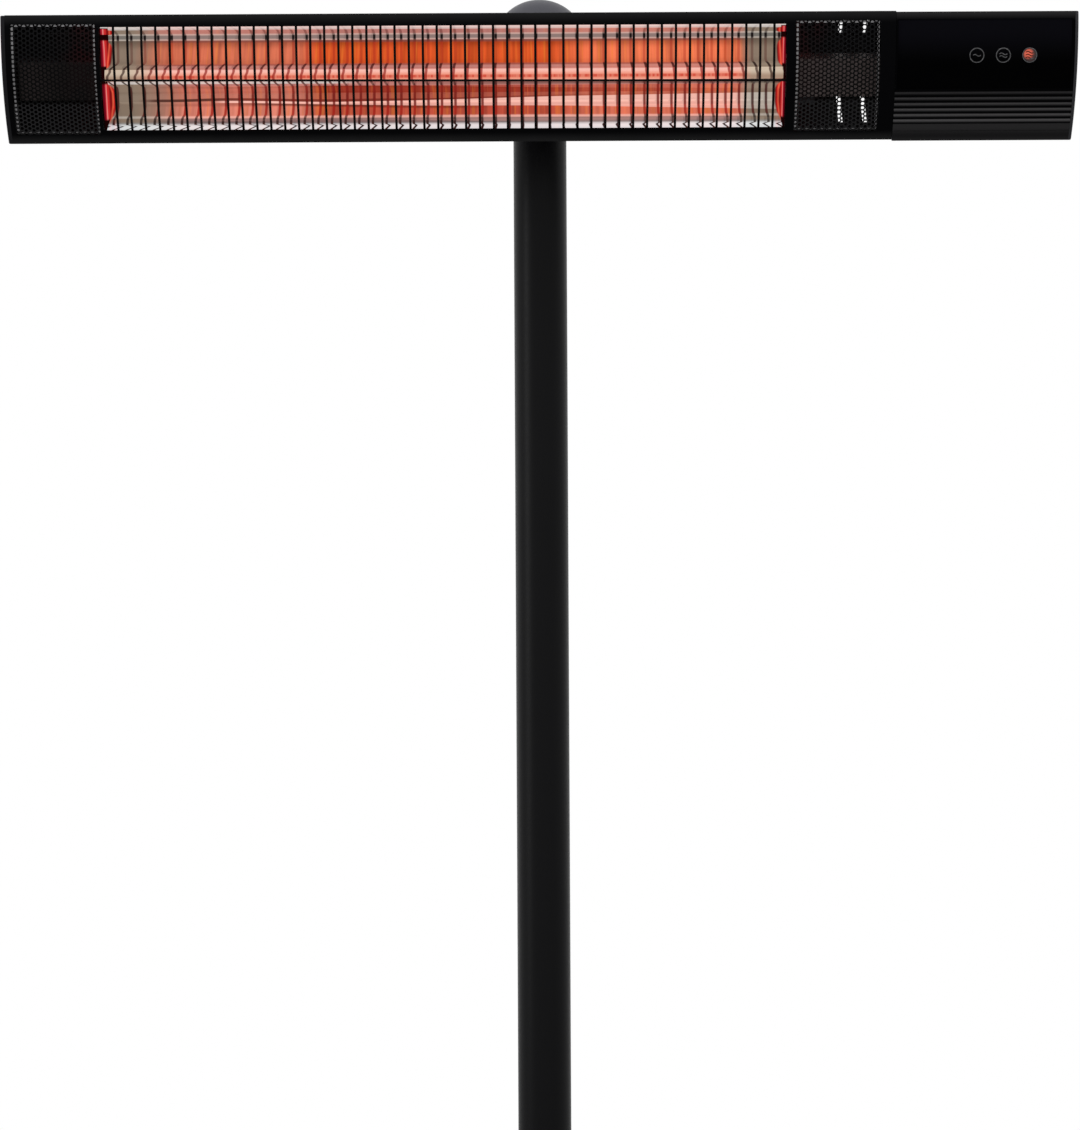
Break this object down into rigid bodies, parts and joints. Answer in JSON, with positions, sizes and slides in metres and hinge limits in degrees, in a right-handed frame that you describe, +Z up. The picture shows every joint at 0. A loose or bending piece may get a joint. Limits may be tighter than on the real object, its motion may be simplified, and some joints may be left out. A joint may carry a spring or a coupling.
{
  "type": "infrared patio heater tower",
  "caption": "Free-standing infrared heater: a long tilting radiant head with grille and control module on a round pole and a heavy disc foot.",
  "frame": {"origin": "centre of the foot's underside, on the floor", "axes": "+Z up along the pole, -Y the way the heater faces, +X towards the control module"},
  "size_m": [1.004, 0.5, 2.22],
  "materials": {
    "black_powder": "satin black powder coat",
    "satin_cap": "satin black cast cap",
    "mesh_black": "perforated sheet, satin black",
    "grille_steel": "heat-darkened steel wire",
    "black_plastic": "fine moulded texture",
    "gloss_panel": "gloss black",
    "clear_plastic": "clear light pipes",
    "dark_lens": "infrared eye",
    "black_screw": "blackened steel",
    "zinc_steel": "zinc plated steel",
    "polished_aluminium": "polished reflector sheet",
    "quartz": "clear quartz",
    "filament": "glowing tungsten coil",
    "ceramic": "steatite ceramic",
    "sleeving": "woven glass sleeving",
    "circuit_board": "green solder mask",
    "relay_plastic": "moulded component cases",
    "fibre": "friction disc",
    "rubber": "moulded rubber"
  },
  "bodies": {
    "stand": {"base_plate": "black_powder", "base_feet": "rubber", "pole_flange": "black_powder", "flange_bolts": "zinc_steel", "base_cover": "black_powder", "pole_lower": "black_powder", "pole_middle": "black_powder", "pole_upper": "black_powder", "pole_coupler_lower": "zinc_steel", "pole_coupler_upper": "zinc_steel", "pole_screws": "black_screw", "hinge_hub": "black_powder", "hub_cap": "satin_cap", "hinge_bolt": "black_screw", "friction_washers": "fibre"},
    "head": {"housing_shell": "black_powder", "front_frame": "black_powder", "left_mesh_panel": "mesh_black", "right_mesh_panel": "mesh_black", "left_end_cap": "black_plastic", "end_cap_screws": "black_screw", "module_screws": "black_screw", "overheat_cutout": "black_plastic", "lamp_lead_left": "sleeving", "lamp_lead_right": "sleeving", "grille_wires": "grille_steel", "grille_cross_wires": "grille_steel", "reflector": "polished_aluminium", "reflector_end_left": "polished_aluminium", "reflector_end_right": "polished_aluminium", "lamp_tube": "quartz", "lamp_filament": "filament", "lamp_holder_left": "ceramic", "lamp_holder_right": "ceramic", "lamp_channel_left": "zinc_steel", "lamp_channel_right": "zinc_steel", "tilt_bracket": "black_powder", "rail_bolts": "black_screw", "control_module_shell": "black_plastic", "display_panel": "gloss_panel", "indicator_lights": "clear_plastic", "control_board": "circuit_board", "remote_receiver": "dark_lens", "tip_over_switch": "relay_plastic", "power_relay": "relay_plastic", "terminal_block": "ceramic", "cable_gland": "black_plastic", "module_end_plate": "black_plastic", "switch_body": "black_plastic"},
    "tilt_knob": {"tilt_knob": "black_plastic"},
    "power_rocker": {"power_rocker": "gloss_panel"}
  },
  "joints": [
    {"name": "head_tilt", "type": "hinge", "parent": "stand", "child": "head", "pos_m": [0, -0.066, 2.1582], "axis": [1, 0, 0], "range_deg": [-22.6, 22.4]},
    {"name": "knob_turn", "type": "hinge", "parent": "stand", "child": "tilt_knob", "pos_m": [0.03, -0.066, 2.1582], "axis": [1, 0, 0], "range_deg": [0, 360]},
    {"name": "rocker_press", "type": "hinge", "parent": "head", "child": "power_rocker", "pos_m": [0.4975, -0.12509, 2.13361], "axis": [0, 0.9232, 0.3843], "range_deg": [0, 16]}
  ]
}
